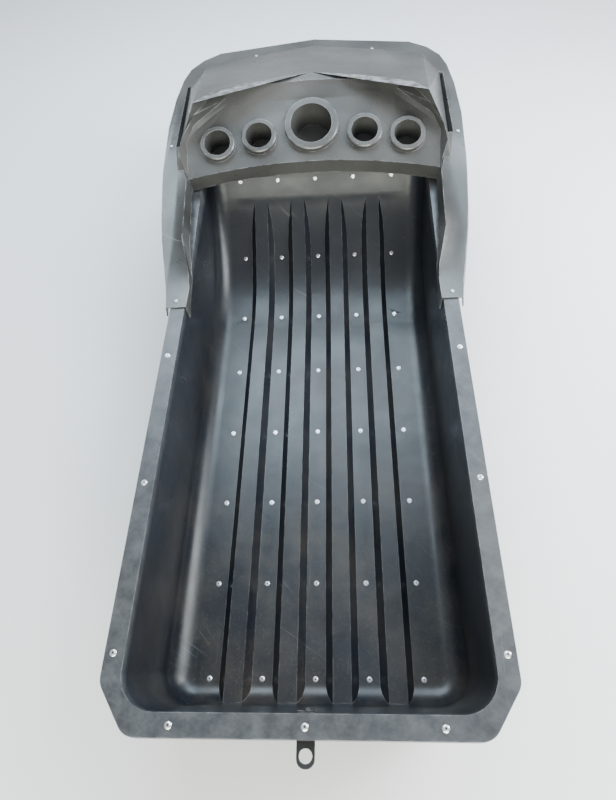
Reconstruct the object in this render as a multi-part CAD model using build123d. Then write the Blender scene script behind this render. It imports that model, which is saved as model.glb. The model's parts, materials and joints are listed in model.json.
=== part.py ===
from build123d import *
import math
import os

import numpy as np

# Tow-behind cargo sled: a thermoformed tub on five wear strips, a steel tube under its
# rolled rim, a rear tow eye, a front hitch under the nose and a cowl with a cup dash.
# Millimetres. Modelled with X to the right, Y to the front and Z up, from the middle of
# the rearmost floor rivets on the floor's upper face, then moved to the exported origin:
# the middle of the sled's length and width, level with the underside of the wear strips.

# ---- floor -------------------------------------------------------------------------
WALL = 5.0                    # tub sheet
RUNNERS = 5
RUNNER_PITCH = 140.0
CHANNEL_WIDTH = 54.0          # flat bottom of a runner channel
BAND_TOP = 48.0               # flat top of a raised band between two channels
BAND_HEIGHT = 28.0
PITCHED_ROWS = 7              # rivet rows at the even pitch; one more stands on the bow
BOW_ROW = 304.0               # from the bow's start up to the last row at the even pitch
LAST_PITCH = 284.0

# ---- tub ---------------------------------------------------------------------------
RIM_HEIGHT = 340.0            # rim's top over the floor, aft of the cowl
RIM_INNER_HALF = 396.0
RIM_WIDTH = 45.0
SIDE_DRAFT = 2.5              # degrees
REAR_DRAFT = 9.0
REAR_WALL_FOOT = -60.0        # where the rear wall's plane meets the floor's
REAR_RIM_WIDTH = 47.0
CORNER_CHAMFER = 88.0         # the rear corners, seen from above
FLOOR_COVE = 60.0
CORNER_ROUND = 80.0
BOW_START = 1190.0            # the floor turns up here
BOW_RADIUS = 520.0
BOW_ANGLE = 62.0
NOSE_ROLL = 88.0             # the bow rolls forward into the nose deck
NOSE_ANGLE = 12.0
NOSE_END = BOW_START + 960
NOSE_END_BELOW_RIM = 19.0
RIM_RISE_START = BOW_START - 110
RIM_RISE = 105.0
RIM_RISE_LENGTH = 450.0
RIM_NOSE_SLOPE = 0.045
LIP_DROP = 28.0               # the rim's turned-down edge
RIM_TURN = 60.0
BAND_FADE = 38.0              # the raised bands leave the bow's arc here and sink into it
BAND_RUN = 190.0
FLARE_FOOT = 330.0            # the sides widen beside the cowl from this height
FLARE_DEPTH = 170.0
FLARE_SLOPE = 0.09

# ---- steel ---------------------------------------------------------------------------
TUBE_OD = 22.0
TUBE_WALL = 2.0
PLATE = 5.0
EYE_HOLE = 27.0
EYE_WIDTH = 38.0
EYE_REACH = 96.0              # from the rear wall to the eye's end
HITCH_PIN = 16.0
HITCH_GAP = 52.0              # between the hitch's ears
EYE_LEG = 74.0                # down the rear wall
EYE_GAP = 4.0                 # between the rim's turned-down edge and the eye's tab
EYE_BOLT_DOWN = 22.0          # the upper bolt under the tab's top
EYE_BOLT_UP = 16.0            # the lower bolt over the leg's foot
EYE_END = 23.0                # from the towing hole's middle to the tab's end
HITCH_AT = BOW_START + 690    # station under the nose deck
HITCH_BASE = (130.0, 110.0)
HITCH_BOLTS = (100.0, 76.0)
HITCH_EAR = 60.0
HITCH_PIN_DROP = 42.0
BACKING = 3.0
RAIL_INSET = 19.0             # rail's middle line in from the rim's edge
RAIL_STERN = RAIL_INSET + 4.0
RAIL_FRONT = RIM_RISE_START - 95
RIM_RIVETS = 3                # along each side
RIM_RIVET_END = 169.0         # from the last one to the rail's front end
RAIL_BEND = 45.0
RAIL_GAP = 5.0                # each rail stops this far from the stern's middle
SLEEVE_FIT = 0.2
SLEEVE_OD = TUBE_OD - 2 * (TUBE_WALL + SLEEVE_FIT)
SLEEVE_LENGTH = 160.0

# ---- wear strips and fasteners ---------------------------------------------------------
STRIP_WIDTH = 44.0
STRIP_THICK = 10.0
COUNTERBORE = 17.0
COUNTERBORE_DEPTH = 6.5
RIVET_FLANGE = 16.0
RIVET_FLANGE_THICK = 2.2
RIVET_SHANK = 4.8
RIVET_TAIL = 8.6
RIVET_BORE = 3.0              # the open mandrel hole in the head
WASHER_OD = 14.0
WASHER_THICK = 1.2
RIVET_TAIL_LENGTH = 3.8
STRIP_START = -14.0
STRIP_RUN = 45.0
SCREW = 6.0
SCREW_HEAD = 13.0
BOLT = 8.0
HOLE_CLEARANCE = 0.2          # on the radius of every fastener hole

# ---- cowl ------------------------------------------------------------------------------
COWL = 4.5                    # cowl sheet
CUP_BORE = 90.0
CUP_COLLAR = 120.0
BIG_CUP_BORE = 140.0
BIG_CUP_COLLAR = 186.0
COLLAR_HEIGHT = 20.0
CUP_DEPTH = 95.0
BIG_CUP_DEPTH = 118.0
CUP_TAPER = 4.0
CUP_ROOT = 1.0                # the collar's foot reaches this far through the deck
CUP_OUT = (180.0, 323.0)      # the small cups' distance from the middle
CUP_AHEAD = (81.0, 64.0)      # and forward of the lip's middle
BIG_CUP_AHEAD = 111.0
LIP_HEIGHT = 49.0
LIP_ARCH = 40.0               # how far the lip's ends stand back from its middle
LIP_SPANS = 4
LIP_AHEAD = 20.0
SLOT_DEPTH = 38.0
SKIRT_DROP = 30.0
SKIRT_LEAN = 6.0
CLEAR = 0.6                   # under the cowl's flange
DECK_SLOPE = 0.52
DECK_UP = 5.0                 # the deck over the rim at the lip's middle
NOSE_REACH = 146.0            # the flange's front edge ahead of the nose
CLIP_SCREW = (17.0, 55.0)     # in from the rim's edge, and behind the rim's rise
SIDE_SCREW = (60.5, 135.0)    # out from the rim's edge, and ahead of the rise's end
FRONT_SCREW = (229.0, 52.0)   # from the middle, and ahead of the nose

# ---- worked out from those ---------------------------------------------------------------
RIM_OUTER_HALF = RIM_INNER_HALF + RIM_WIDTH
EYE_TOP = RIM_HEIGHT - LIP_DROP - EYE_GAP
RIVET_PITCH = (BOW_START + BOW_ROW) / (PITCHED_ROWS - 1)
RIM_RIVET_PITCH = (RAIL_FRONT - RIM_RIVET_END) / (RIM_RIVETS - 1)
WALL_FOOT = RIM_INNER_HALF - RIM_HEIGHT * math.tan(math.radians(SIDE_DRAFT))
REAR_RIM_INNER = REAR_WALL_FOOT - RIM_HEIGHT * math.tan(math.radians(REAR_DRAFT))
REAR_EDGE = REAR_RIM_INNER - REAR_RIM_WIDTH
RUNNER_X = [RUNNER_PITCH * (i - (RUNNERS - 1) / 2) for i in range(RUNNERS)]
RIM_NOSE_START = RIM_RISE_START + RIM_RISE_LENGTH
STRIP_BOTTOM = -WALL - STRIP_THICK
BAND_SIDE = (RUNNER_PITCH - CHANNEL_WIDTH - BAND_TOP) / 2
FAR = 3000.0
REAR_END = REAR_WALL_FOOT - WALL / math.cos(math.radians(REAR_DRAFT)) - EYE_REACH \
    - EYE_TOP * math.tan(math.radians(REAR_DRAFT))
FRONT_END = NOSE_END + NOSE_REACH + SKIRT_LEAN


def rim_z(y):
    """Height of the tub's rim at a station: level, rising beside the arms, then gentle."""
    rise = RIM_RISE * min(max((y - RIM_RISE_START) / RIM_RISE_LENGTH, 0.0), 1.0)
    return RIM_HEIGHT + rise + RIM_NOSE_SLOPE * max(y - RIM_NOSE_START, 0.0)


def prism_x(points, radii):
    """A closed outline of (y, z) points with rounded corners, extruded across the sled."""
    wire = Wire(FilletPolyline(*[(0, y, z) for y, z in points], radius=radii, close=True).edges())
    return extrude(Face(wire), amount=FAR / 2, dir=(1, 0, 0), both=True)


def mirrored(points):
    """Right-hand outline points from the stern to the bow, completed with the left-hand ones."""
    return points + [(-x, y) for x, y in reversed(points) if x > 0]


def both_sides(shape):
    return [shape, mirror(shape, about=Plane.YZ)]


def below_rim(drop):
    """Everything lower than the rim's surface less a drop."""
    z = [rim_z(0) - drop, rim_z(RIM_RISE_START) - drop, rim_z(RIM_NOSE_START) - drop]
    end = rim_z(FAR) - drop
    points = [(-FAR, -FAR), (-FAR, z[0]), (RIM_RISE_START, z[1]), (RIM_NOSE_START, z[2]),
              (FAR, end), (FAR, -FAR)]
    return prism_x(points, [0, 0, RIM_TURN, RIM_TURN, 0, 0])


def tub_outline(inset=0.0):
    """The rim's outer edge from above, moved inwards by an inset."""
    half = RIM_OUTER_HALF
    flare = [(half, RIM_RISE_START - 30), (half + 52, RIM_RISE_START + 250),
             (half + 79, NOSE_END - 380), (half + 60, NOSE_END - 130),
             (half - 9, NOSE_END + 38), (half - 68, NOSE_END + 78)]
    stern = [(half - CORNER_CHAMFER * 0.8, REAR_EDGE), (half, REAR_EDGE + CORNER_CHAMFER * 1.15)]
    points = mirrored(stern + flare + [(0, NOSE_END + 134)])
    count = len(stern + flare)
    radii = [45, 45, 500, 500, 600, 200, 120, 90, 300]
    face = Face(Wire(FilletPolyline(*[(x, y, -FAR / 2) for x, y in points],
                                    radius=radii[:count + 1] + radii[:count][::-1],
                                    close=True).edges()))
    if inset:
        face = offset(face, amount=-inset, kind=Kind.INTERSECTION)
    return extrude(face, amount=FAR, dir=(0, 0, 1))


def floor_path(offset_down, start, angle, run=0.0):
    """Along the floor's middle line, lowered by an offset: flat, then up the bow by an angle."""
    radius = BOW_RADIUS + offset_down
    turn = math.radians(angle)
    flat = Line((0, start, -offset_down), (0, BOW_START, -offset_down))
    middle = (0, BOW_START + radius * math.sin(turn / 2), BOW_RADIUS - radius * math.cos(turn / 2))
    end = (0, BOW_START + radius * math.sin(turn), BOW_RADIUS - radius * math.cos(turn))
    arc = ThreePointArc(flat @ 1, middle, end)
    edges = [flat, arc]
    if run:
        beyond = (0, end[1] + run * math.cos(turn), end[2] + run * math.sin(turn))
        edges.append(Line(end, beyond))
    return Wire([e for part in edges for e in part.edges()])


def band(grow):
    """The solid of one raised band; its foot reaches well under the floor."""
    slope = BAND_SIDE / BAND_HEIGHT
    shift = grow * math.sqrt(1 + slope * slope)
    top, foot = BAND_HEIGHT - grow, -WALL * 4
    half_top = BAND_TOP / 2 - shift + slope * grow
    half_foot = BAND_TOP / 2 - shift + slope * (BAND_HEIGHT - foot)
    start = REAR_EDGE
    section = Polyline((-half_foot, start, foot), (-half_top, start, top), (half_top, start, top),
                       (half_foot, start, foot), close=True)
    return sweep(Face(Wire(section.edges())), path=floor_path(0, start, BAND_FADE, BAND_RUN))


def hull(grow):
    """The tub's inside space (grow 0), or that space plus the sheet's thickness."""
    side = math.tan(math.radians(SIDE_DRAFT))
    rear = math.tan(math.radians(REAR_DRAFT))
    bow = math.radians(BOW_ANGLE)
    nose = math.radians(NOSE_ANGLE)
    low, high = -grow, FAR / 4
    foot = WALL_FOOT + grow / math.cos(math.atan(side)) - grow * side
    across = Polyline((-foot, 0, low), (foot, 0, low), (foot + (high - low) * side, 0, high),
                      (-foot - (high - low) * side, 0, high), close=True)
    across = extrude(Face(Wire(across.edges())), amount=FAR, dir=(0, 1, 0), both=True)
    # floor, bow and nose deck are straight lines lowered by the sheet, with rounded turns
    turn_y = BOW_START + (BOW_RADIUS + grow) * math.tan(bow / 2)
    deck_z = rim_z(NOSE_END) - NOSE_END_BELOW_RIM - grow / math.cos(nose)
    roll_y = (deck_z - NOSE_END * math.tan(nose) - low + turn_y * math.tan(bow)) \
        / (math.tan(bow) - math.tan(nose))
    roll_z = low + (roll_y - turn_y) * math.tan(bow)
    end_y = NOSE_END + grow
    rear_foot = REAR_WALL_FOOT - grow / math.cos(math.atan(rear)) + grow * rear
    along = [(rear_foot, low), (turn_y, low), (roll_y, roll_z),
             (end_y, deck_z + grow * math.tan(nose)), (end_y, high),
             (rear_foot - (high - low) * rear, high)]
    along = prism_x(along, [0, BOW_RADIUS + grow, NOSE_ROLL - grow, 0, 0, 0])
    body = across & along
    corners = [e for e in body.edges().filter_by(GeomType.LINE)
               if e.center().Y < rear_foot and e.bounding_box().size.Z > RIM_HEIGHT]
    body = fillet(corners, CORNER_ROUND + grow)
    foot_edges = [e for e in body.edges() if e.bounding_box().min.Z < RIM_HEIGHT
                  and e.bounding_box().size.Z < RIM_HEIGHT and e.center().Y < roll_y + NOSE_ROLL
                  and not (e.geom_type == GeomType.LINE and abs(e.center().X) < 1
                           and e.center().Y > 0)]
    body = fillet(foot_edges, FLOOR_COVE + grow)
    flare = loft([flare_outline(grow, False), flare_outline(grow, True)], ruled=True)
    return body + (flare & along)


def flare_outline(grow, top):
    """The widened space beside the cowl: its sloping lower outline, or the upper one."""
    half = RIM_INNER_HALF - 8 + grow
    wider = [0, 73, 51, 57, 77, 32, 0] if top else [0] * 7
    outs = [half, half + 37, half + 67, half + 78, half + 78, half + 52, half * 0.3]
    ys = [RIM_RISE_START - 18 - grow, RIM_RISE_START + 177 - grow, RIM_NOSE_START - 80,
          RIM_NOSE_START + 70, NOSE_END - 115, NOSE_END - 30 + grow, NOSE_END - 2 + grow]
    up = FLARE_FOOT + (FLARE_DEPTH if top else -grow)
    points = [(x + more, y, up + FLARE_SLOPE * (y - ys[0])) for x, more, y in zip(outs, wider, ys)]
    points += [(-x, y, z) for x, y, z in reversed(points)]
    return Face(Wire(Polyline(*points, close=True).edges()))


def floor_point(run, down=0.0):
    """Y, Z and slope (degrees) at a distance along the floor's middle line, lowered by an offset."""
    turn = math.radians(BOW_ANGLE)
    angle = min(max(run - BOW_START, 0.0) / BOW_RADIUS, turn)
    beyond = max(run - BOW_START - BOW_RADIUS * turn, 0.0)
    radius = BOW_RADIUS + down
    y = min(run, BOW_START) + radius * math.sin(angle) + beyond * math.cos(turn)
    z = BOW_RADIUS - radius * math.cos(angle) + beyond * math.sin(turn)
    return y, z, math.degrees(angle)


def floor_rows():
    """Places of one runner's rivets on the floor, each turned to the floor's own slope."""
    runs = [RIVET_PITCH * i for i in range(PITCHED_ROWS)]
    runs.append(runs[-1] + LAST_PITCH)
    places = []
    lift = RIVET_FLANGE ** 2 / 8 / BOW_RADIUS     # a flat head on the bow's hollow side
    for run in runs:
        curved = BOW_START < run < BOW_START + BOW_RADIUS * math.radians(BOW_ANGLE)
        y, z, slope = floor_point(run, -lift if curved else 0.0)
        places.append(Pos(0, y, z) * Rot(slope, 0, 0))
    return places


def rod(radius, low, high):
    """A round bar along Z between two heights."""
    return Pos(0, 0, low) * Cylinder(radius, high - low, align=(Align.CENTER, Align.CENTER, Align.MIN))


def rivet(grip):
    """Blind rivet standing on Z=0: ring-shaped head, open mandrel hole, swollen tail."""
    head = rod(RIVET_FLANGE / 2, 0, RIVET_FLANGE_THICK)
    head = fillet(head.edges().filter_by(GeomType.CIRCLE).sort_by(Axis.Z)[-1:], 1.4)
    tail = fillet(rod(RIVET_TAIL / 2, -grip - RIVET_TAIL_LENGTH, -grip).edges(), 1.2)
    return head + rod(RIVET_SHANK / 2, -grip - 1, 0.5) + tail - rod(RIVET_BORE / 2, -FAR, FAR)


def tail_drop(radius):
    """How far a rivet's tail hangs clear of a tube's curved inside."""
    return radius - math.sqrt(radius ** 2 - (RIVET_TAIL / 2) ** 2) + CLEAR / 6


def hexagon(size, low, high):
    """A hexagonal prism of a size across its flats, between two heights."""
    return Pos(0, 0, low) * extrude(RegularPolygon(size / 2, 6, major_radius=False), amount=high - low)


def screw(size, head, length):
    """Button-head screw standing on Z=0, with a hexagon socket."""
    dome = fillet(rod(head / 2, 0, size * 0.55).edges().sort_by(Axis.Z)[-1:], size * 0.4)
    return dome + rod(size / 2, -length, 0.5) - hexagon(size * 0.62, size * 0.2, size)


def nut(size, top, thick):
    """Hexagon nut with its upper face at a height."""
    return hexagon(size * 1.65, top - thick, top) - rod(size / 2, -FAR, FAR)


def hole(size):
    return rod(size / 2 + HOLE_CLEARANCE, -60, 60)


def strip(x):
    """One wear strip: a bar bent along the floor's underside, bored and counterbored."""
    low = WALL + STRIP_THICK / 2
    path = floor_path(low, STRIP_START, BOW_ANGLE, STRIP_RUN)
    half, thick = STRIP_WIDTH / 2, STRIP_THICK / 2
    section = Polyline((-half, STRIP_START, -low - thick), (half, STRIP_START, -low - thick),
                       (half, STRIP_START, -low + thick), (-half, STRIP_START, -low + thick),
                       close=True)
    bar = sweep(Face(Wire(section.edges())), path=path)
    ends = [e for e in bar.edges() if e.bounding_box().size.Z > 1
            and e.bounding_box().size.X < 1 and e.length < STRIP_THICK * 1.1]
    bar = fillet(ends, 8)
    for place in floor_rows():
        bar -= place * hole(RIVET_SHANK)
        bar -= place * rod(COUNTERBORE / 2, -60, -WALL - STRIP_THICK + COUNTERBORE_DEPTH)
    return Pos(x, 0, 0) * bar


def group(shapes):
    return Compound([solid for shape in shapes for solid in shape.solids()])


# ---- rim rail, tow eye and front hitch -------------------------------------------------
def rail_points():
    """The right-hand rail's middle line from the front end to the stern's middle."""
    out, y = RIM_OUTER_HALF - RAIL_INSET, REAR_EDGE + RAIL_STERN
    return [(out, RAIL_FRONT), (out, y + CORNER_CHAMFER * 0.98),
            (out - CORNER_CHAMFER * 0.68, y), (RAIL_GAP, y)]


def rim_rail():
    z = RIM_HEIGHT - WALL - TUBE_OD / 2
    points = [(x, y, z) for x, y in rail_points()]
    path = Wire(FilletPolyline(*points, radius=RAIL_BEND).edges())
    start = Plane(points[0], z_dir=(0, -1, 0))
    ring = start * (Circle(TUBE_OD / 2) - Circle(TUBE_OD / 2 - TUBE_WALL))
    return sweep(ring, path=path)


def rail_rivet_places():
    """Right side, left side and stern rim rivets, standing on the rim."""
    out = RIM_OUTER_HALF - RAIL_INSET
    stern = REAR_EDGE + RAIL_STERN
    side = [RIM_RIVET_PITCH * i for i in range(RIM_RIVETS)]
    right = [Pos(out, y, RIM_HEIGHT) for y in side]
    left = [Pos(-out, y, RIM_HEIGHT) for y in side]
    rear = [Pos(x, stern, RIM_HEIGHT) for x in (-RUNNER_PITCH * 2, 0, RUNNER_PITCH * 2)]
    return right, left, rear


def rear_wall(height, outwards=0.0):
    """Frame on the rear wall's inner face: X stays across, Y points up the wall, Z inwards."""
    y = REAR_WALL_FOOT - height * math.tan(math.radians(REAR_DRAFT))
    return Pos(0, y, height) * Rot(REAR_DRAFT - 90, 0, 0) * Pos(0, 0, outwards)


def eye_bracket():
    """Bent plate: a leg down the rear wall and a level tab with the towing hole."""
    slope = math.tan(math.radians(REAR_DRAFT))
    wall = WALL / math.cos(math.radians(REAR_DRAFT))
    thick = PLATE / math.cos(math.radians(REAR_DRAFT))
    top = EYE_TOP
    low = top - EYE_LEG

    def face_y(z):
        return REAR_WALL_FOOT - wall - z * slope
    points = [(face_y(low), low), (face_y(top), top), (face_y(top) - EYE_REACH, top),
              (face_y(top) - EYE_REACH, top - PLATE), (face_y(top - PLATE) - thick, top - PLATE),
              (face_y(low) - thick, low)]
    bent = prism_x(points, [0, 0, 0, 0, PLATE * 1.2, 0])
    tip = face_y(top) - EYE_REACH
    half = EYE_WIDTH / 2
    plan = extrude(Face(Wire(FilletPolyline((-half, 0, 0), (half, 0, 0), (half, tip, 0),
                                            (-half, tip, 0), radius=[0, 0, half - 1, half - 1],
                                            close=True).edges())), amount=FAR, both=True)
    bracket = bent & plan
    bracket -= Pos(0, tip + EYE_END, 0) * rod(EYE_HOLE / 2, -FAR, FAR)
    for place in eye_bolt_places():
        bracket -= place * hole(BOLT)
    return bracket


def eye_bolt_places():
    return [rear_wall(EYE_TOP - EYE_BOLT_DOWN), rear_wall(EYE_TOP - EYE_LEG + EYE_BOLT_UP)]


def nose_frame(ahead):
    """Frame on the nose deck's inner face at a station: Z leans with the deck's own normal."""
    z = rim_z(NOSE_END) - NOSE_END_BELOW_RIM - (NOSE_END - ahead) * math.tan(math.radians(NOSE_ANGLE))
    return Pos(0, ahead, z) * Rot(NOSE_ANGLE, 0, 0)


def hitch_places():
    return [nose_frame(HITCH_AT) * Pos(sx * HITCH_BOLTS[0] / 2, sy * HITCH_BOLTS[1] / 2, 0)
            for sx in (-1, 1) for sy in (-1, 1)]


def hitch_bracket():
    """Base plate under the nose deck with two ears that take a cross pin."""
    base = Pos(0, 0, -WALL - PLATE / 2) * Box(HITCH_BASE[0], HITCH_BASE[1], PLATE)
    base = fillet(base.edges().filter_by(Axis.Z), 10)
    drop = HITCH_PIN_DROP + HITCH_EAR / 2
    for side in (-1, 1):
        x = side * (HITCH_GAP + PLATE) / 2
        ear = Pos(x, 0, -WALL - PLATE - drop / 2) * Box(PLATE, HITCH_EAR, drop)
        low = ear.edges().filter_by(Axis.X).sort_by(Axis.Z)[:2]
        base += fillet(low, HITCH_EAR / 2 - 2)
    base -= Pos(0, 0, -WALL - PLATE - HITCH_PIN_DROP) * Rot(0, 90, 0) * \
        Cylinder(HITCH_PIN / 2, HITCH_GAP * 4)
    bracket = nose_frame(HITCH_AT) * base
    for place in hitch_places():
        bracket -= place * hole(BOLT)
    return bracket


# ---- cowl --------------------------------------------------------------------------------
def on_rim(y):
    """Height of the cowl flange's upper face, lying on the tub's rim."""
    return rim_z(y) + COWL + CLEAR


def deck_up(ahead):
    """Height of the dash deck over the rim at the lip's station."""
    return DECK_UP + DECK_SLOPE * (ahead - LIP_AHEAD)


def edge_out(y):
    """Half width of the cowl's flange at a station."""
    ahead = [-80, -20, 160, 265, 400, 690, 863, 986, 1054]
    out = [13, 21, 51, 62, 71, 85, 79, 64, 43]
    return RIM_OUTER_HALF + float(np.interp(y - RIM_RISE_START, ahead, out))


def cowl_points():
    """The right-hand half of the cowl's outer skin: named corners (out, ahead, up)."""
    def hood(out, ahead, up):
        x = 0.0 if out is None else RIM_OUTER_HALF + out
        return x, RIM_NOSE_START + ahead, rim_z(RIM_NOSE_START) + up

    def flat(x, y, up=0.0):
        return x, y, on_rim(y) + up

    mid = None
    points = {
        "ridge mid": hood(mid, 321, 146), "ridge": hood(-123, 247, 146),
        "peak": hood(-54, 119, 174),
        "step mid": hood(mid, 276, 143), "step": hood(-148, 231, 121),
        "foot mid": hood(mid, 268, deck_up(268)), "foot": hood(-158, 222, deck_up(222)),
        "step side": hood(-34, 146, deck_up(143) + 11), "foot side": hood(-46, 143, deck_up(143)),
        "band": hood(-45, 125, 127), "band low": hood(-1, 81, 80), "band end": hood(10, 27, 55),
        "step low": hood(-7, 93, 50), "foot low": hood(-24, 85, deck_up(85)),
        "nose mid": hood(mid, 683, 55), "nose": hood(-171, 620, 55), "nose end": hood(-20, 605, 42),
    }
    # the lip: a shallow arch from the middle to the arms, with its hem under it
    for k in range(LIP_SPANS + 1):
        share = k / LIP_SPANS
        out = mid if k == 0 else (RIM_OUTER_HALF - 14) * share - RIM_OUTER_HALF
        ahead = LIP_AHEAD - LIP_ARCH * share ** 2
        points[f"lip {k}"] = hood(out, ahead, deck_up(ahead))
        points[f"sill {k}"] = hood(out if k < LIP_SPANS else -19, ahead + 4,
                                   deck_up(ahead) - LIP_HEIGHT)
    front = NOSE_END
    points["base mid"] = flat(0, front + 72)
    points["base"] = flat(RIM_OUTER_HALF - 165, front + 10)
    points["base end"] = flat(RIM_OUTER_HALF - 10, front - 6)
    # the side slots, sunk between the hood's foot and the flange
    rear, fore = RIM_NOSE_START + 110, front - 142
    slot_in, slot_out = RIM_OUTER_HALF + 24, RIM_OUTER_HALF + 44
    points["slot a"] = flat(slot_in - 2, rear, 15)
    points["slot b"] = flat(slot_in + 5, fore, 8)
    points["slot c"] = flat(slot_out, fore + 8)
    points["slot d"] = flat(slot_out, rear + 22)
    points["sump a"] = flat(slot_in - 3, rear + 14, -SLOT_DEPTH)
    points["sump b"] = flat(slot_in + 2, fore - 10, -SLOT_DEPTH)
    points["sump c"] = flat(slot_out - 17, fore - 6, -SLOT_DEPTH)
    points["sump d"] = flat(slot_out - 17, rear + 32, -SLOT_DEPTH)
    # the arms along the rim: inner hem, crest and crease at each station
    stations = [-80, -40, 0, 50, 177, 265, 397, 450]
    hem_out = [-54, -54, -54, -53, -38, -32, -24]
    hem_up = [-49, -30, -23, -21, -11, -22, -37]
    crest_out = [-51, -51, -51, -46, -17, -16, -14, 2]
    crest_up = [0, 0, 0, 4, 12, 10, 8, 4]
    crease_out = [-8, -8, -6, -3, 6, 11, 17, 22]
    for k, ahead in enumerate(stations):
        y = RIM_RISE_START + ahead
        if k < len(hem_out):
            points[f"hem {k}"] = flat(RIM_OUTER_HALF + hem_out[k], y, hem_up[k])
        points[f"crest {k}"] = flat(RIM_OUTER_HALF + crest_out[k], y, crest_up[k])
        points[f"crease {k}"] = flat(RIM_OUTER_HALF + crease_out[k], y)
    # the flange's outer edge and the skirt under it
    ring = [RIM_RISE_START + ahead for ahead in stations]
    ring += [rear + 22, NOSE_END - 380, NOSE_END - 207, fore + 8, NOSE_END - 84, NOSE_END - 16]
    edge = [(edge_out(y), y) for y in ring]
    edge += [(RIM_OUTER_HALF - 1, NOSE_END + 42), (RIM_OUTER_HALF - 66, NOSE_END + 86),
             (0, NOSE_END + NOSE_REACH)]
    for k, (x, y) in enumerate(edge):
        before = edge[max(k - 1, 0)]
        after = edge[k + 1] if k + 1 < len(edge) else (-edge[k - 1][0], edge[k - 1][1])
        run = (after[0] - before[0], after[1] - before[1])
        size = math.hypot(*run)
        points[f"edge {k}"] = flat(x, y)
        down = SKIRT_DROP + (9 if k < 2 else 0)
        points[f"skirt {k}"] = flat(x + run[1] / size * SKIRT_LEAN, y - run[0] / size * SKIRT_LEAN, -down)
    return points, len(stations), len(edge)


def cowl_faces(arm, ring):
    """Polygons of the right-hand half, each a chain of corner names, outer side up."""
    faces = [
        ["ridge mid", "ridge", "peak", "nose", "nose mid"], ["peak", "nose end", "nose"],
        ["step mid", "step", "ridge", "ridge mid"], ["band", "peak", "ridge"],
        ["step", "step side", "band", "ridge"],
        ["foot mid", "foot", "step", "step mid"], ["foot", "foot side", "step side", "step"],
        ["foot side", "foot low", "step low", "step side"],
        ["step side", "step low", "band low", "band"], ["step low", "band end", "band low"],
        ["foot mid"] + [f"lip {k}" for k in range(LIP_SPANS + 1)]
        + ["foot low", "foot side", "foot"],
        ["peak", "band", "slot a"], ["band", "band low", "slot a"],
        ["peak", "slot a", "slot b"], ["peak", "slot b", "nose end"],
        ["nose mid", "nose", "base", "base mid"], ["nose", "nose end", "base end", "base"],
        ["nose end", "slot b", "base end"], ["slot b", "slot c", "base end"],
        ["slot a", "sump a", "sump b", "slot b"], ["slot b", "sump b", "sump c", "slot c"],
        ["slot c", "sump c", "sump d", "slot d"], ["slot d", "sump d", "sump a", "slot a"],
        ["sump a", "sump d", "sump c", "sump b"],
    ]
    last = arm - 1
    lip = arm - 2
    for k in range(last):
        faces.append([f"crest {k}", f"crease {k}", f"crease {k + 1}", f"crest {k + 1}"])
        faces.append([f"crease {k}", f"edge {k}", f"edge {k + 1}", f"crease {k + 1}"])
        if k < lip:
            faces.append([f"hem {k}", f"crest {k}", f"crest {k + 1}", f"hem {k + 1}"])
    end, sill = f"lip {LIP_SPANS}", f"sill {LIP_SPANS}"
    faces += [
        [f"hem {lip}", f"crest {lip}", end, sill],
        [end, f"crest {lip}", f"crest {last}"], [end, f"crest {last}", "band end"],
        [end, "band end", "step low"], [end, "step low", "foot low"],
        [f"crest {last}", f"crease {last}", "band end"],
        ["band end", f"crease {last}", "slot a"], ["band end", "slot a", "band low"],
        [f"crease {last}", "slot d", "slot a"],
        [f"crease {last}", f"edge {last}", f"edge {last + 1}", "slot d"],
        ["slot d", f"edge {last + 1}", f"edge {last + 2}"],
        ["slot d", f"edge {last + 2}", f"edge {last + 3}", "slot c"],
        ["slot c", f"edge {last + 3}", f"edge {last + 4}"],
        ["slot c", f"edge {last + 4}", f"edge {last + 5}", "base end"],
        ["base end", f"edge {last + 5}", f"edge {last + 6}"],
        ["base end", f"edge {last + 6}", f"edge {last + 7}"],
        ["base end", f"edge {last + 7}", f"edge {last + 8}", "base"],
        ["base", f"edge {last + 8}", f"edge {last + 9}", "base mid"],
    ]
    for k in range(LIP_SPANS):
        faces.append([f"sill {k}", f"sill {k + 1}", f"lip {k + 1}", f"lip {k}"])
    for k in range(ring - 1):
        faces.append([f"edge {k}", f"skirt {k}", f"skirt {k + 1}", f"edge {k + 1}"])
    return faces


def thick_sheet(corners, polygons, thick):
    """A sheet whose outer skin is made of flat facets, thickened evenly inwards."""
    triangles = []
    for polygon in polygons:
        triangles += [(polygon[0], polygon[i], polygon[i + 1]) for i in range(1, len(polygon) - 1)]
    around = [[] for _ in corners]
    sides = {}
    for a, b, c in triangles:
        normal = np.cross(corners[b] - corners[a], corners[c] - corners[a])
        normal = normal / np.linalg.norm(normal)
        for i, j in ((a, b), (b, c), (c, a)):
            around[i].append(normal)
            sides[(i, j)] = True
    inner = []
    for corner, normals in zip(corners, around):
        shift = np.linalg.lstsq(np.array(normals), np.full(len(normals), -thick), rcond=0.15)[0]
        inner.append(corner + shift)
    skins = [[corners[i] for i in t] for t in triangles]
    skins += [[inner[i] for i in reversed(t)] for t in triangles]
    for i, j in sides:
        if (j, i) not in sides:
            skins += [[corners[j], corners[i], inner[i]], [corners[j], inner[i], inner[j]]]
    faces = [Face(Wire.make_polygon([tuple(p) for p in skin], close=True)) for skin in skins]
    return Solid(Shell(faces))


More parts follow.
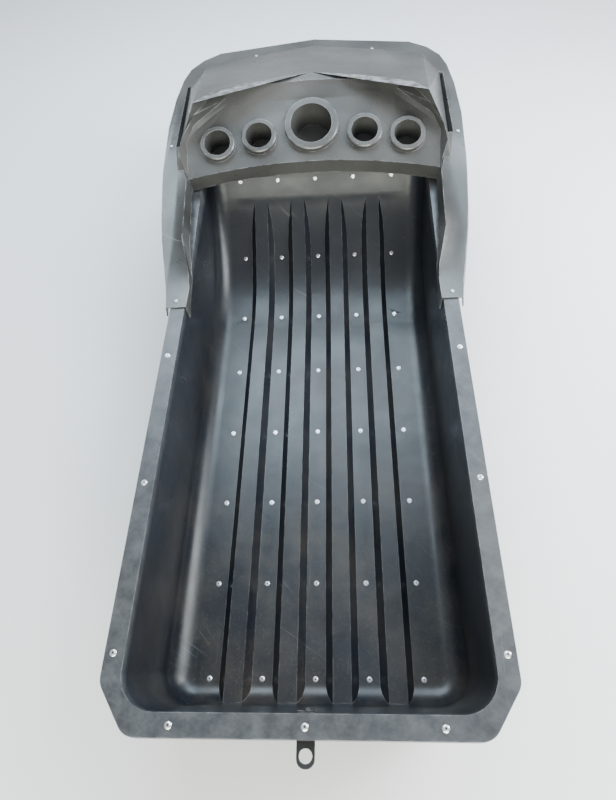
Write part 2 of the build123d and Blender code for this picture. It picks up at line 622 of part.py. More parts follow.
def cowl_skin():
    points, arm, ring = cowl_points()
    chains = cowl_faces(arm, ring)
    names = [name for name in points if any(name in chain for chain in chains)]
    corners = [np.array(points[name]) for name in names]
    index = {name: i for i, name in enumerate(names)}
    twin = {}
    for name in names:
        x, y, z = points[name]
        twin[name] = index[name]
        if x > 0.5:
            twin[name] = len(corners)
            corners.append(np.array((-x, y, z)))
    polygons = []
    for chain in chains:
        polygons.append([index[name] for name in chain])
        # the same first corner, so both halves are split along the same diagonals
        polygons.append([twin[name] for name in chain[:1] + chain[:0:-1]])
    return thick_sheet(corners, polygons, COWL)


def deck_frame(x, ahead):
    """Frame on the dash deck: Z is the deck's normal."""
    place = Pos(x, RIM_NOSE_START + ahead, rim_z(RIM_NOSE_START) + deck_up(ahead))
    return place * Rot(math.degrees(math.atan(DECK_SLOPE)), 0, 0)


def cup_places():
    """Every cup: frame on the deck, bore, collar and depth."""
    cups = [(deck_frame(0, LIP_AHEAD + BIG_CUP_AHEAD), BIG_CUP_BORE, BIG_CUP_COLLAR, BIG_CUP_DEPTH)]
    for out, ahead in zip(CUP_OUT, CUP_AHEAD):
        for x in (-out, out):
            cups.append((deck_frame(x, LIP_AHEAD + ahead), CUP_BORE, CUP_COLLAR, CUP_DEPTH))
    return cups


def cup(bore, collar, depth):
    """A cup pressed into the deck: raised collar, level ring, tapering well and floor."""
    outer, mouth = collar / 2, bore / 2
    foot = mouth - depth * math.tan(math.radians(CUP_TAPER))
    top, low = COLLAR_HEIGHT, COLLAR_HEIGHT - depth
    profile = [(0, low), (foot, low), (mouth, top), (outer - 3, top), (outer, top - 3),
               (outer, -COWL - CUP_ROOT), (outer - COWL, -COWL - CUP_ROOT), (outer - COWL, top - COWL),
               (mouth + COWL, top - COWL), (foot + COWL, low - COWL), (0, low - COWL)]
    outline = Polyline(*[(r, 0, z) for r, z in profile], close=True)
    return revolve(Face(Wire(outline.edges())), axis=Axis.Z)


def cowl():
    body = cowl_skin()
    for place, bore, collar, depth in cup_places():
        body -= place * rod(collar / 2 - COWL / 2, -COWL * 3, COWL)
        body += place * cup(bore, collar, depth)
    for place in clip_places() + side_places() + front_places():
        body -= place * hole(SCREW)
    return body


def rim_frame(x, y):
    """Frame on the cowl flange's upper face, leaning with the rim's slope."""
    slope = (rim_z(y + 1) - rim_z(y - 1)) / 2
    return Pos(x, y, on_rim(y)) * Rot(math.degrees(math.atan(slope)), 0, 0)


def clip_places():
    out, behind = CLIP_SCREW
    return [rim_frame(s * (RIM_OUTER_HALF - out), RIM_RISE_START - behind) for s in (-1, 1)]


def side_places():
    out, ahead = SIDE_SCREW
    return [rim_frame(s * (RIM_OUTER_HALF + out), RIM_NOSE_START + ahead) for s in (-1, 1)]


def front_places():
    out, ahead = FRONT_SCREW
    return [rim_frame(s * out, NOSE_END + ahead) for s in (-1, 1)]


def tub():
    inside, outside = hull(0), hull(WALL)
    for x in RUNNER_X[:-1]:
        inside -= Pos(x + RUNNER_PITCH / 2, 0, 0) * band(0)
        outside -= Pos(x + RUNNER_PITCH / 2, 0, 0) * band(WALL)
    top = below_rim(0)
    flange = tub_outline() & (top - below_rim(WALL))
    edge = (tub_outline() - tub_outline(WALL)) & (top - below_rim(LIP_DROP))
    body = ((outside & top) + flange + edge) - inside
    right, left, rear = rail_rivet_places()
    holes = [place * hole(RIVET_SHANK) for place in right + left + rear]
    for x in RUNNER_X:
        holes += [Pos(x, 0, 0) * place * hole(RIVET_SHANK) for place in floor_rows()]
    holes += [place * hole(BOLT) for place in eye_bolt_places() + hitch_places()]
    holes += [place * rod(SCREW / 2 + HOLE_CLEARANCE, -20, 5)
              for place in clip_places() + side_places() + front_places()]
    return body - holes


def save(name, shape):
    """Writes one node, moved to the exported origin."""
    export_step(Pos(0, -(FRONT_END + REAR_END) / 2, -STRIP_BOTTOM) * shape, f"parts/{name}.step")


def build():
    os.makedirs("parts", exist_ok=True)
    save("tub", tub())
    save("cowl", cowl())
    grip = WALL + STRIP_THICK - COUNTERBORE_DEPTH
    floor_rivet = rivet(grip + WASHER_THICK)
    washer = rod(WASHER_OD / 2, -grip - WASHER_THICK, -grip) - hole(RIVET_SHANK)
    for i, x in enumerate(RUNNER_X, start=1):
        rows = [Pos(x, 0, 0) * place for place in floor_rows()]
        save(f"wear_strip_{i}", strip(x))
        save(f"runner_rivets_{i}", group(place * floor_rivet for place in rows))
        save(f"runner_washers_{i}", group(place * washer for place in rows))

    rail = rim_rail()
    sleeve_y, sleeve_z = REAR_EDGE + RAIL_STERN, RIM_HEIGHT - WALL - TUBE_OD / 2
    sleeve = Pos(0, sleeve_y, sleeve_z) * Rot(0, 90, 0) * (
        Cylinder(SLEEVE_OD / 2, SLEEVE_LENGTH) - Cylinder(SLEEVE_OD / 2 - TUBE_WALL, SLEEVE_LENGTH))
    right, left, rear = rail_rivet_places()
    down = [place * rod(RIVET_SHANK / 2 + HOLE_CLEARANCE, -WALL - TUBE_OD / 2, 1)
            for place in right + left + rear]
    for name, half in zip(("right", "left"), both_sides(rail)):
        save(f"rim_rail_{name}", half - down)
    save("rim_rail_sleeve", sleeve - down)
    rim_rivet = rivet(WALL + TUBE_WALL + tail_drop(TUBE_OD / 2 - TUBE_WALL))
    sleeve_rivet = rivet(WALL + (TUBE_OD - SLEEVE_OD) / 2 + TUBE_WALL
                         + tail_drop(SLEEVE_OD / 2 - TUBE_WALL))
    save("rim_rivets_right", group(place * rim_rivet for place in right))
    save("rim_rivets_left", group(place * rim_rivet for place in left))
    save("rim_rivets_rear", group([rear[0] * rim_rivet, rear[1] * sleeve_rivet, rear[2] * rim_rivet]))

    save("tow_eye_bracket", eye_bracket())
    middle = (eye_bolt_places()[0].position + eye_bolt_places()[1].position) / 2
    backing = rear_wall(middle.Z) * (Pos(0, 0, BACKING / 2) * Box(EYE_WIDTH, EYE_LEG, BACKING))
    save("tow_eye_backing_plate", backing - [place * hole(BOLT) for place in eye_bolt_places()])
    inwards = Pos(0, 0, BACKING)
    bolt = screw(BOLT, BOLT * 1.75, BACKING + WALL + PLATE + BOLT)
    eye_nut = nut(BOLT, -WALL - PLATE, BOLT * 0.8)
    save("tow_eye_bolts", group(place * inwards * bolt for place in eye_bolt_places()))
    save("tow_eye_nuts", group(place * eye_nut for place in eye_bolt_places()))

    save("front_hitch_bracket", hitch_bracket())
    plate = nose_frame(HITCH_AT) * (Pos(0, 0, BACKING / 2) * Box(HITCH_BASE[0], HITCH_BASE[1], BACKING))
    save("front_hitch_backing_plate", plate - [place * hole(BOLT) for place in hitch_places()])
    save("front_hitch_bolts", group(place * inwards * bolt for place in hitch_places()))
    save("front_hitch_nuts", group(place * eye_nut for place in hitch_places()))

    cowl_screw = screw(SCREW, SCREW_HEAD, COWL + CLEAR + WALL + SCREW)
    cowl_nut = nut(SCREW, -COWL - CLEAR - WALL, SCREW * 0.8)
    for name, places in (("clip", clip_places()), ("side", side_places()), ("front", front_places())):
        save(f"cowl_{name}_screws", group(place * cowl_screw for place in places))
        save(f"cowl_{name}_nuts", group(place * cowl_nut for place in places))


if __name__ == "__main__":
    build()
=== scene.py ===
import json
import math

import bmesh
import bpy
import numpy as np
from mathutils import Matrix, Vector

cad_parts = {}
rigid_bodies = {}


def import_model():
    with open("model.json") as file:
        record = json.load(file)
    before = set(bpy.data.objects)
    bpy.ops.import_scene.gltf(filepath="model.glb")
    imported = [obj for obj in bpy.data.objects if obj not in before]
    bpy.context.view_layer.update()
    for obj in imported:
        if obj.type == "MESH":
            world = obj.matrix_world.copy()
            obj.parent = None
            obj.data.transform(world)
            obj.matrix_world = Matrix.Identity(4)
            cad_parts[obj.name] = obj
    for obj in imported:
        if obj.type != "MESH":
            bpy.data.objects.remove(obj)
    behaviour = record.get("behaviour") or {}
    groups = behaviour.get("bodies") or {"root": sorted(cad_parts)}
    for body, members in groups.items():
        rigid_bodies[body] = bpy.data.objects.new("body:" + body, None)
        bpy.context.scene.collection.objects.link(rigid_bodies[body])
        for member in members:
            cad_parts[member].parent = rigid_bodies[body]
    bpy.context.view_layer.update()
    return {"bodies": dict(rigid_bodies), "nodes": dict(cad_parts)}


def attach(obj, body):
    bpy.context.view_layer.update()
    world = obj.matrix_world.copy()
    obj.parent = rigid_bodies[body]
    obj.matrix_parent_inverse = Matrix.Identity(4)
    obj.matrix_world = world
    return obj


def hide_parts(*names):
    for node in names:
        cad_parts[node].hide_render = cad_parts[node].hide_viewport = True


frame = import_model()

NODES = frame["nodes"]
ROOT = list(frame["bodies"])[0]
scene = bpy.context.scene


# ---- camera ----------------------------------------------------------------------------
IMAGE = (616, 800)
LENS = 27.0                             # millimetres
EYE = (0.105, -1.2986, 1.7163)
PITCH, YAW, ROLL = 56.33, -7.07, 7.32   # degrees: looking down, to the left, and tilted


def put_camera():
    data = bpy.data.cameras.new("camera")
    camera = bpy.data.objects.new("camera", data)
    scene.collection.objects.link(camera)
    scene.camera = camera
    data.lens = LENS
    data.clip_start = 0.05
    pitch, yaw, roll = math.radians(PITCH), math.radians(YAW), math.radians(ROLL)
    ahead = Vector((math.sin(yaw) * math.cos(pitch), math.cos(yaw) * math.cos(pitch),
                    -math.sin(pitch)))
    level = Vector((math.cos(yaw), -math.sin(yaw), 0))
    down = ahead.cross(level)
    right = level * math.cos(roll) + down * math.sin(roll)
    down = down * math.cos(roll) - level * math.sin(roll)
    turn = Matrix((right, -down, -ahead)).transposed()
    camera.matrix_world = Matrix.Translation(EYE) @ turn.to_4x4()
    scene.render.resolution_x, scene.render.resolution_y = IMAGE


# ---- shader helpers ----------------------------------------------------------------------
def link(tree, a, b):
    tree.links.new(a, b)


def math_node(tree, kind, a, b=0.5, clamp=False):
    node = tree.nodes.new("ShaderNodeMath")
    node.operation = kind
    node.use_clamp = clamp
    for socket, value in zip(node.inputs, (a, b)):
        if hasattr(value, "is_output"):
            link(tree, value, socket)
        else:
            socket.default_value = value
    return node.outputs[0]


def noise(tree, vector, scale, detail=4.0, rough=0.55, squash=None):
    if squash:
        mapping = tree.nodes.new("ShaderNodeMapping")
        mapping.inputs["Scale"].default_value = squash
        link(tree, vector, mapping.inputs["Vector"])
        vector = mapping.outputs[0]
    node = tree.nodes.new("ShaderNodeTexNoise")
    node.inputs["Scale"].default_value = scale
    node.inputs["Detail"].default_value = detail
    node.inputs["Roughness"].default_value = rough
    link(tree, vector, node.inputs["Vector"])
    return node.outputs["Fac"]


def ramp(tree, value, low, high, out_low=0.0, out_high=1.0):
    node = tree.nodes.new("ShaderNodeMapRange")
    for name, number in (("From Min", low), ("From Max", high), ("To Min", out_low),
                         ("To Max", out_high)):
        node.inputs[name].default_value = number
    link(tree, value, node.inputs["Value"])
    return node.outputs["Result"]


def mix(tree, factor, a, b):
    node = tree.nodes.new("ShaderNodeMix")
    node.data_type = "RGBA"
    for socket, value in ((node.inputs[0], factor), (node.inputs[6], a), (node.inputs[7], b)):
        if hasattr(value, "is_output"):
            link(tree, value, socket)
        else:
            socket.default_value = value
    return node.outputs[2]


def new_group(name, inputs, outputs):
    """An empty shader node group with its sockets; returns the tree, its inputs and outputs."""
    tree = bpy.data.node_groups.new(name, "ShaderNodeTree")
    for label, kind, value in inputs:
        socket = tree.interface.new_socket(label, in_out="INPUT", socket_type=kind)
        if value is not None:
            socket.default_value = value
    for label, kind in outputs:
        tree.interface.new_socket(label, in_out="OUTPUT", socket_type=kind)
    return tree, tree.nodes.new("NodeGroupInput"), tree.nodes.new("NodeGroupOutput")


FLOAT, VECTOR = "NodeSocketFloat", "NodeSocketVector"


def edge_group():
    """Mask of worn edges: where a rounded normal leaves the flat one, broken up by noise."""
    tree, given, out = new_group("Worn edges", [("Vector", VECTOR, None), ("Radius", FLOAT, 0.004),
                                                ("Break-up", FLOAT, 40.0)], [("Mask", FLOAT)])
    bevel = tree.nodes.new("ShaderNodeBevel")
    bevel.samples = 4
    link(tree, given.outputs["Radius"], bevel.inputs["Radius"])
    flat = tree.nodes.new("ShaderNodeNewGeometry")
    dot = tree.nodes.new("ShaderNodeVectorMath")
    dot.operation = "DOT_PRODUCT"
    link(tree, bevel.outputs[0], dot.inputs[0])
    link(tree, flat.outputs["Normal"], dot.inputs[1])
    turned = ramp(tree, dot.outputs["Value"], 0.995, 0.93)
    spots = tree.nodes.new("ShaderNodeTexNoise")
    link(tree, given.outputs["Vector"], spots.inputs["Vector"])
    link(tree, given.outputs["Break-up"], spots.inputs["Scale"])
    mask = math_node(tree, "MULTIPLY", turned, ramp(tree, spots.outputs["Fac"], 0.38, 0.62), True)
    link(tree, mask, out.inputs["Mask"])
    return tree


def scratch_group():
    """Fine scratches: long ones fore and aft, short ones every way."""
    tree, given, out = new_group("Scratches", [("Vector", VECTOR, None), ("Amount", FLOAT, 0.5)],
                                 [("Mask", FLOAT)])
    total = None
    for angle, squash, scale in ((0.05, (60, 1.2, 60), 3.0), (0.55, (1.5, 70, 1.5), 2.2),
                                 (-0.7, (70, 1.8, 70), 2.6)):
        turn = tree.nodes.new("ShaderNodeMapping")
        turn.inputs["Rotation"].default_value = (0, 0, angle)
        link(tree, given.outputs["Vector"], turn.inputs["Vector"])
        lines = noise(tree, turn.outputs[0], scale, 5.0, 0.6, squash)
        lines = ramp(tree, lines, 0.66, 0.74)
        total = lines if total is None else math_node(tree, "MAXIMUM", total, lines)
    patches = noise(tree, given.outputs["Vector"], 3.5, 3.0)
    total = math_node(tree, "MULTIPLY", total, ramp(tree, patches, 0.42, 0.62))
    link(tree, math_node(tree, "MULTIPLY", total, given.outputs["Amount"], True), out.inputs["Mask"])
    return tree


def dirt_group():
    """Dried mud and dust: thicker low down, towards the stern and in broken patches."""
    tree, given, out = new_group("Dirt", [("Vector", VECTOR, None), ("Low", FLOAT, 0.0),
                                          ("High", FLOAT, 0.3), ("Amount", FLOAT, 0.5)],
                                 [("Mask", FLOAT)])
    split = tree.nodes.new("ShaderNodeSeparateXYZ")
    link(tree, given.outputs["Vector"], split.inputs[0])
    low = tree.nodes.new("ShaderNodeMapRange")
    link(tree, split.outputs["Z"], low.inputs["Value"])
    link(tree, given.outputs["Low"], low.inputs["From Max"])
    link(tree, given.outputs["High"], low.inputs["From Min"])
    stern = ramp(tree, split.outputs["Y"], 0.5, -1.2, 0.25, 1.0)
    patches = ramp(tree, noise(tree, given.outputs["Vector"], 5.0, 8.0, 0.65), 0.42, 0.68)
    specks = ramp(tree, noise(tree, given.outputs["Vector"], 160.0, 3.0), 0.55, 0.75)
    film = math_node(tree, "MULTIPLY", low.outputs["Result"], stern)
    body = math_node(tree, "ADD", math_node(tree, "MULTIPLY", patches, 0.7),
                     math_node(tree, "MULTIPLY", specks, 0.5))
    body = math_node(tree, "MULTIPLY", body, film)
    link(tree, math_node(tree, "MULTIPLY", body, given.outputs["Amount"], True), out.inputs["Mask"])
    return tree


EDGES, SCRATCHES, DIRT = edge_group(), scratch_group(), dirt_group()


def use(tree, group, vector, **values):
    node = tree.nodes.new("ShaderNodeGroup")
    node.node_tree = group
    link(tree, vector, node.inputs["Vector"])
    for name, value in values.items():
        label = name.capitalize().replace("_", "-")
        node.inputs[label].default_value = value
    return node.outputs["Mask"]


def material(name):
    made = bpy.data.materials.new(name)
    made.use_nodes = True
    tree = made.node_tree
    shader = tree.nodes["Principled BSDF"]
    vector = tree.nodes.new("ShaderNodeTexCoord").outputs["Object"]
    return made, tree, shader, vector


def bump(tree, shader, height, strength, distance):
    node = tree.nodes.new("ShaderNodeBump")
    node.inputs["Strength"].default_value = strength
    node.inputs["Distance"].default_value = distance
    link(tree, height, node.inputs["Height"])
    link(tree, node.outputs[0], shader.inputs["Normal"])


def plastic(name, dark, light, rough, grain, dirt, scratches, edges, shine=0.45, rim=None,
            mud=(0.11, 0.085, 0.055, 1)):
    """Thermoformed polyethylene: broad tone drift, grain, scratches, paler edges and dirt."""
    made, tree, shader, vector = material(name)
    drift = noise(tree, vector, 2.2, 3.0)
    colour = mix(tree, ramp(tree, drift, 0.35, 0.65), dark, light)
    if rim:
        split = tree.nodes.new("ShaderNodeSeparateXYZ")
        link(tree, vector, split.inputs[0])
        scuffs = ramp(tree, noise(tree, vector, 26.0, 8.0, 0.7), 0.36, 0.66, 0.35, 1.0)
        scuffs = math_node(tree, "MULTIPLY", scuffs, ramp(tree, split.outputs["Z"], *rim))
        colour = mix(tree, scuffs, colour, (0.075, 0.078, 0.082, 1))
    lines = use(tree, SCRATCHES, vector, amount=scratches)
    colour = mix(tree, math_node(tree, "MULTIPLY", lines, 0.55), colour, (0.19, 0.19, 0.2, 1))
    worn = use(tree, EDGES, vector, radius=0.004, break_up=35.0)
    colour = mix(tree, math_node(tree, "MULTIPLY", worn, edges), colour, (0.22, 0.22, 0.23, 1))
    soil = use(tree, DIRT, vector, low=0.0, high=0.42, amount=dirt)
    colour = mix(tree, soil, colour, mud)
    link(tree, colour, shader.inputs["Base Color"])
    gloss = ramp(tree, noise(tree, vector, 7.0, 5.0, 0.6), 0.3, 0.7, rough - 0.07, rough + 0.08)
    gloss = math_node(tree, "ADD", gloss, math_node(tree, "MULTIPLY", soil, 0.4))
    gloss = math_node(tree, "ADD", gloss, math_node(tree, "MULTIPLY", lines, 0.15), True)
    link(tree, gloss, shader.inputs["Roughness"])
    shader.inputs["Specular IOR Level"].default_value = shine
    fine = noise(tree, vector, 900.0, 2.0, 0.5, grain)
    wave = noise(tree, vector, 9.0, 2.0)
    height = math_node(tree, "ADD", math_node(tree, "MULTIPLY", fine, 0.06), wave)
    height = math_node(tree, "SUBTRACT", height, math_node(tree, "MULTIPLY", lines, 0.05))
    bump(tree, shader, height, 0.35, 0.004)
    return made


def metal(name, base, rough, metallic, rust=0.0, grain=400.0):
    """Metal or painted metal with fine grain, stains, worn edges and optional rust spots."""
    made, tree, shader, vector = material(name)
    stain = noise(tree, vector, 55.0, 6.0, 0.6)
    dull = tuple(c * 0.62 for c in base[:3]) + (1,)
    colour = mix(tree, ramp(tree, stain, 0.4, 0.66), base, dull)
    worn = use(tree, EDGES, vector, radius=0.0015, break_up=120.0)
    colour = mix(tree, math_node(tree, "MULTIPLY", worn, 0.6), colour, (0.62, 0.62, 0.64, 1))
    spots = ramp(tree, noise(tree, vector, 90.0, 8.0, 0.7), 0.62, 0.72, 0.0, rust)
    colour = mix(tree, spots, colour, (0.16, 0.06, 0.022, 1))
    link(tree, colour, shader.inputs["Base Color"])
    link(tree, ramp(tree, stain, 0.3, 0.7, rough - 0.06, rough + 0.14), shader.inputs["Roughness"])
    shader.inputs["Metallic"].default_value = metallic
    bump(tree, shader, noise(tree, vector, grain, 3.0), 0.25, 0.0006)
    return made


# Painted shade: a near-black finish for the thin disc on each rivet head, standing in for the shadow
# inside the mandrel hole
def painted_hole_shade(name):
    made, tree, shader, vector = material(name)
    colour = mix(tree, noise(tree, vector, 500.0, 4.0), (0.006, 0.006, 0.006, 1), (0.03, 0.026, 0.022, 1))
    link(tree, colour, shader.inputs["Base Color"])
    link(tree, ramp(tree, noise(tree, vector, 300.0), 0.3, 0.7, 0.5, 0.8), shader.inputs["Roughness"])
    return made


TUB = plastic("tub plastic", (0.006, 0.0075, 0.0105, 1), (0.012, 0.0145, 0.0195, 1), 0.32, None,
              0.4, 0.7, 0.45, shine=0.42, rim=(0.325, 0.36))
COWL = plastic("cowl plastic", (0.02, 0.02, 0.0195, 1), (0.066, 0.065, 0.062, 1), 0.3,
               (0.25, 1.0, 1.0), 0.0, 0.6, 0.9, shine=0.62)
STRIP = plastic("strip plastic", (0.011, 0.011, 0.012, 1), (0.02, 0.02, 0.021, 1), 0.45,
                (1.0, 0.1, 1.0), 0.9, 1.0, 0.5)
STEEL = metal("black coat", (0.014, 0.014, 0.015, 1), 0.38, 0.0, rust=0.6)
ZINC = metal("zinc plate", (0.5, 0.51, 0.53, 1), 0.34, 1.0, rust=0.25)
ALLOY = metal("rivet aluminium", (0.83, 0.84, 0.86, 1), 0.28, 1.0)
# painted shade for the rivets' mandrel holes
HOLE_SHADE = painted_hole_shade("mandrel hole painted shade")


# ---- pieces over the CAD nodes --------------------------------------------------------------
MERGE_ANGLE = math.radians(0.08)        # only flat triangles become one face before rounding
ROUND_SHARE = 0.4                       # of the narrower face beside an edge
ROUND_STEPS = (1.0, 0.5, 0.25, 0.12)


def skin(node, finish, width=0.0, steps=2, sharp=30.0):
    """A merged, smoothly shaded copy of a CAD node, its edges rounded, in place of the node."""
    mesh = NODES[node].data.copy()
    piece = bpy.data.objects.new(f"{node}_skin", mesh)
    scene.collection.objects.link(piece)
    work = bmesh.new()
    work.from_mesh(mesh)
    bmesh.ops.remove_doubles(work, verts=work.verts, dist=1e-5)
    if width:
        bmesh.ops.dissolve_limit(work, angle_limit=MERGE_ANGLE, verts=work.verts,
                                 edges=work.edges)
    for face in work.faces:
        face.smooth = True
    weight = work.edges.layers.float.new("bevel_weight_edge")
    for edge in work.edges:
        turned = len(edge.link_faces) == 2 and edge.calc_face_angle() > math.radians(sharp)
        edge.smooth = not turned
        if turned and width:
            # a rounding no wider than a share of the narrower face beside the edge
            room = min(face.calc_area() for face in edge.link_faces) / edge.calc_length()
            edge[weight] = next((share for share in ROUND_STEPS
                                 if room * ROUND_SHARE > width * share), 0.0)
    work.to_mesh(mesh)
    work.free()
    mesh.materials.clear()
    mesh.materials.append(finish)
    if width:
        bevel = piece.modifiers.new("edges", "BEVEL")
        bevel.width = width
        bevel.segments = steps
        bevel.limit_method = "WEIGHT"
        bevel.harden_normals = True
    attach(piece, ROOT)
    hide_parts(node)
    return piece


def islands(node):
    """Centres of a CAD node's separate solids, with each solid's vertices, stern to bow."""
    work = bmesh.new()
    work.from_mesh(NODES[node].data)
    bmesh.ops.remove_doubles(work, verts=work.verts, dist=1e-6)
    left, found = set(work.verts), []
    while left:
        stack, shell = [left.pop()], []
        while stack:
            vert = stack.pop()
            shell.append(np.array(vert.co))
            for edge in vert.link_edges:
                other = edge.other_vert(vert)
                if other in left:
                    left.remove(other)
                    stack.append(other)
        found.append(np.array(shell))
    work.free()
    return sorted(found, key=lambda shell: (round(shell[:, 1].mean(), 3), shell[:, 0].mean()))


def rivet_places():
    """Seat and axis of every blind rivet head, from the rivets and their washers."""
    places = []
    for row in range(1, 6):
        for shell, washer in zip(islands(f"runner_rivets_{row}"), islands(f"runner_washers_{row}")):
            axis = shell.mean(0) - washer.mean(0)
            axis = axis / np.linalg.norm(axis)
            top = washer.mean(0) + axis * ((shell - washer.mean(0)) @ axis).max()
            places.append((top, axis))
    for name in ("left", "right", "rear"):
        for shell in islands(f"rim_rivets_{name}"):
            low, high = shell.min(0), shell.max(0)
            top = np.array(((low[0] + high[0]) / 2, (low[1] + high[1]) / 2, high[2]))
            places.append((top, np.array((0.0, 0.0, 1.0))))
    return places


def rivet_tree():
    """Geometry Nodes: a ring-headed blind rivet on every point, turned to the point's axis."""
    tree = bpy.data.node_groups.new("Blind rivets", "GeometryNodeTree")
    tree.interface.new_socket("Geometry", in_out="INPUT", socket_type="NodeSocketGeometry")
    for name, value in (("Flange Radius", 0.008), ("Flange Height", 0.0022), ("Hole Radius", 0.0021),
                        ("Shank Radius", 0.0024), ("Shank Length", 0.0155)):
        socket = tree.interface.new_socket(name, in_out="INPUT", socket_type="NodeSocketFloat")
        socket.default_value = value
    tree.interface.new_socket("Geometry", in_out="OUTPUT", socket_type="NodeSocketGeometry")
    given, out = tree.nodes.new("NodeGroupInput"), tree.nodes.new("NodeGroupOutput")

    def times(name, factor):
        node = tree.nodes.new("ShaderNodeMath")
        node.operation = "MULTIPLY"
        node.inputs[1].default_value = factor
        tree.links.new(given.outputs[name], node.inputs[0])
        return node.outputs[0]

    def cone(top, bottom, depth, shift, finish, sides=40):
        node = tree.nodes.new("GeometryNodeMeshCone")
        node.inputs["Vertices"].default_value = sides
        tree.links.new(top, node.inputs["Radius Top"])
        tree.links.new(bottom, node.inputs["Radius Bottom"])
        tree.links.new(depth, node.inputs["Depth"])
        move = tree.nodes.new("GeometryNodeTransform")
        tree.links.new(node.outputs["Mesh"], move.inputs["Geometry"])
        place = tree.nodes.new("ShaderNodeCombineXYZ")
        tree.links.new(shift, place.inputs["Z"])
        tree.links.new(place.outputs[0], move.inputs["Translation"])
        paint = tree.nodes.new("GeometryNodeSetMaterial")
        paint.inputs["Material"].default_value = finish
        tree.links.new(move.outputs["Geometry"], paint.inputs["Geometry"])
        return paint.outputs["Geometry"]

    parts = [
        cone(times("Flange Radius", 0.86), times("Flange Radius", 1.0), times("Flange Height", 0.55),
             times("Flange Height", -1.0), ALLOY),
        cone(times("Flange Radius", 0.56), times("Flange Radius", 0.8), times("Flange Height", 0.45),
             times("Flange Height", -0.45), ALLOY),
        # thin near-black disc on top of the head: painted shade in place of the mandrel hole
        cone(times("Hole Radius", 1.0), times("Hole Radius", 1.0), times("Flange Height", 0.06),
             times("Flange Height", -0.03), HOLE_SHADE, 20),
        cone(times("Shank Radius", 1.0), times("Shank Radius", 1.0), times("Shank Length", 1.0),
             times("Shank Length", -1.0), ALLOY, 16),
        cone(times("Shank Radius", 1.75), times("Shank Radius", 1.2), times("Shank Length", 0.22),
             times("Shank Length", -1.0), ALLOY, 20),
    ]
    join = tree.nodes.new("GeometryNodeJoinGeometry")
    for part in parts:
        tree.links.new(part, join.inputs[0])
    axis = tree.nodes.new("GeometryNodeInputNamedAttribute")
    axis.data_type = "FLOAT_VECTOR"
    axis.inputs["Name"].default_value = "axis"
    turn = tree.nodes.new("FunctionNodeAlignRotationToVector")
    turn.axis = "Z"
    tree.links.new(axis.outputs["Attribute"], turn.inputs["Vector"])
    spin = tree.nodes.new("FunctionNodeRandomValue")
    spin.data_type = "FLOAT"
    spin.inputs["Max"].default_value = math.tau
    spin.inputs["Seed"].default_value = 7
    spin_axis = tree.nodes.new("FunctionNodeAxisAngleToRotation")
    tree.links.new(spin.outputs[1], spin_axis.inputs["Angle"])
    both = tree.nodes.new("FunctionNodeRotateRotation")
    both.rotation_space = "LOCAL"
    tree.links.new(turn.outputs[0], both.inputs[0])
    tree.links.new(spin_axis.outputs[0], both.inputs[1])
    dots = tree.nodes.new("GeometryNodeMeshToPoints")
    tree.links.new(given.outputs["Geometry"], dots.inputs["Mesh"])
    copies = tree.nodes.new("GeometryNodeInstanceOnPoints")
    tree.links.new(dots.outputs["Points"], copies.inputs["Points"])
    tree.links.new(join.outputs[0], copies.inputs["Instance"])
    tree.links.new(both.outputs[0], copies.inputs["Rotation"])
    real = tree.nodes.new("GeometryNodeRealizeInstances")
    tree.links.new(copies.outputs[0], real.inputs[0])
    smooth = tree.nodes.new("GeometryNodeSetShadeSmooth")
    smooth.inputs["Shade Smooth"].default_value = False
    tree.links.new(real.outputs[0], smooth.inputs[0])
    tree.links.new(smooth.outputs[0], out.inputs[0])
    return tree


def make_rivets():
    places = rivet_places()
    mesh = bpy.data.meshes.new("rivets")
    mesh.from_pydata([tuple(top) for top, _ in places], [], [])
    axes = mesh.attributes.new("axis", "FLOAT_VECTOR", "POINT")
    axes.data.foreach_set("vector", [float(v) for _, axis in places for v in axis])
    seeds = bpy.data.objects.new("rivets", mesh)
    scene.collection.objects.link(seeds)
    tree = rivet_tree()
    modifier = seeds.modifiers.new("rivets", "NODES")
    modifier.node_group = tree
    sizes = {"Flange Radius": 0.008, "Flange Height": 0.0022}
    for item in tree.interface.items_tree:
        if item.in_out == "INPUT" and item.name in sizes:
            modifier[item.identifier] = sizes[item.name]
    bpy.context.view_layer.update()
    shown = seeds.evaluated_get(bpy.context.evaluated_depsgraph_get())
    finished = bpy.data.meshes.new_from_object(shown)
    seeds.modifiers.clear()
    seeds.data = finished
    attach(seeds, ROOT)
    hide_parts(*[f"runner_rivets_{i}" for i in range(1, 6)],
                *[f"rim_rivets_{side}" for side in ("left", "right", "rear")])


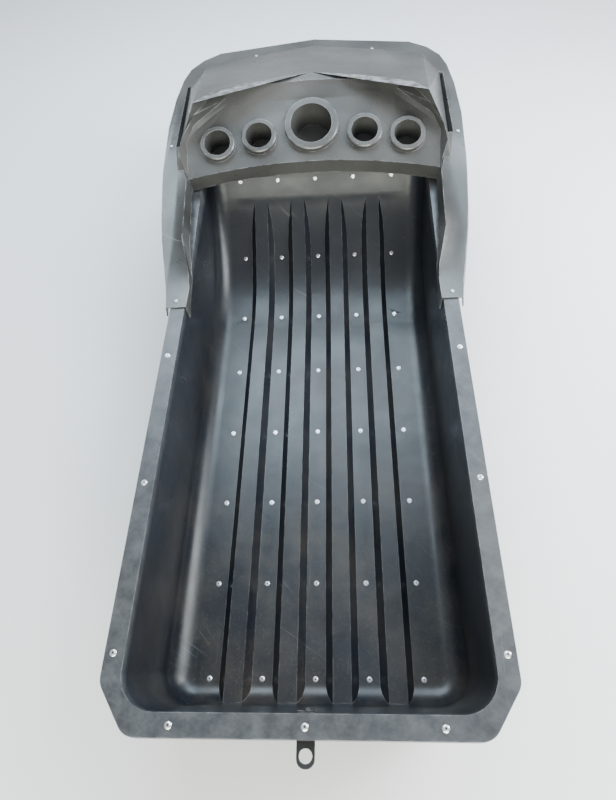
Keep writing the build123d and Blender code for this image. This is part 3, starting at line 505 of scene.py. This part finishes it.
# ---- stage ---------------------------------------------------------------------------------
def area(name, place, target, size, power, colour=(1, 1, 1)):
    data = bpy.data.lights.new(name, "AREA")
    data.shape = "RECTANGLE"
    data.size, data.size_y = size
    data.energy = power
    data.color = colour
    lamp = bpy.data.objects.new(name, data)
    scene.collection.objects.link(lamp)
    lamp.location = place
    lamp.rotation_euler = (Vector(target) - Vector(place)).to_track_quat("-Z", "Y").to_euler()


def make_stage():
    mesh = bpy.data.meshes.new("floor")
    half = 12.0
    mesh.from_pydata([(-half, -half, 0), (half, -half, 0), (half, half, 0), (-half, half, 0)], [],
                     [(0, 1, 2, 3)])
    floor = bpy.data.objects.new("floor", mesh)
    scene.collection.objects.link(floor)
    made, tree, shader, vector = material("floor")
    colour = mix(tree, noise(tree, vector, 0.8, 2.0), (0.78, 0.78, 0.78, 1), (0.82, 0.82, 0.82, 1))
    link(tree, colour, shader.inputs["Base Color"])
    link(tree, ramp(tree, noise(tree, vector, 3.0), 0.0, 1.0, 0.7, 0.8), shader.inputs["Roughness"])
    mesh.materials.append(made)
    world = bpy.data.worlds.new("studio")
    scene.world = world
    world.use_nodes = True
    world.node_tree.nodes["Background"].inputs["Color"].default_value = (0.92, 0.96, 1.0, 1)
    world.node_tree.nodes["Background"].inputs["Strength"].default_value = 0.9
    area("key", (2.6, 0.3, 1.9), (0, 0, 0.1), (1.2, 3.6), 300.0, (0.9, 0.96, 1.0))
    area("top", (-0.2, 1.9, 2.9), (0, -0.3, 0.1), (2.8, 1.8), 190.0, (0.7, 0.87, 1.0))
    area("stern", (0.2, -3.2, 0.95), (0, 0.6, 0.5), (3.4, 1.7), 230.0, (0.98, 1.0, 0.88))


put_camera()
skin("tub", TUB, 0.007, 4, 30.0)
skin("cowl", COWL, 0.004, 3, 28.0)
for index in range(1, 6):
    skin(f"wear_strip_{index}", STRIP)
    skin(f"runner_washers_{index}", ZINC)
for name in ("rim_rail_left", "rim_rail_right", "rim_rail_sleeve", "tow_eye_bracket",
             "front_hitch_bracket"):
    skin(name, STEEL)
for name in NODES:
    if name.endswith(("_screws", "_nuts", "_bolts", "_backing_plate")):
        skin(name, STEEL if name.startswith("tow_eye") else ZINC)
make_rivets()
make_stage()
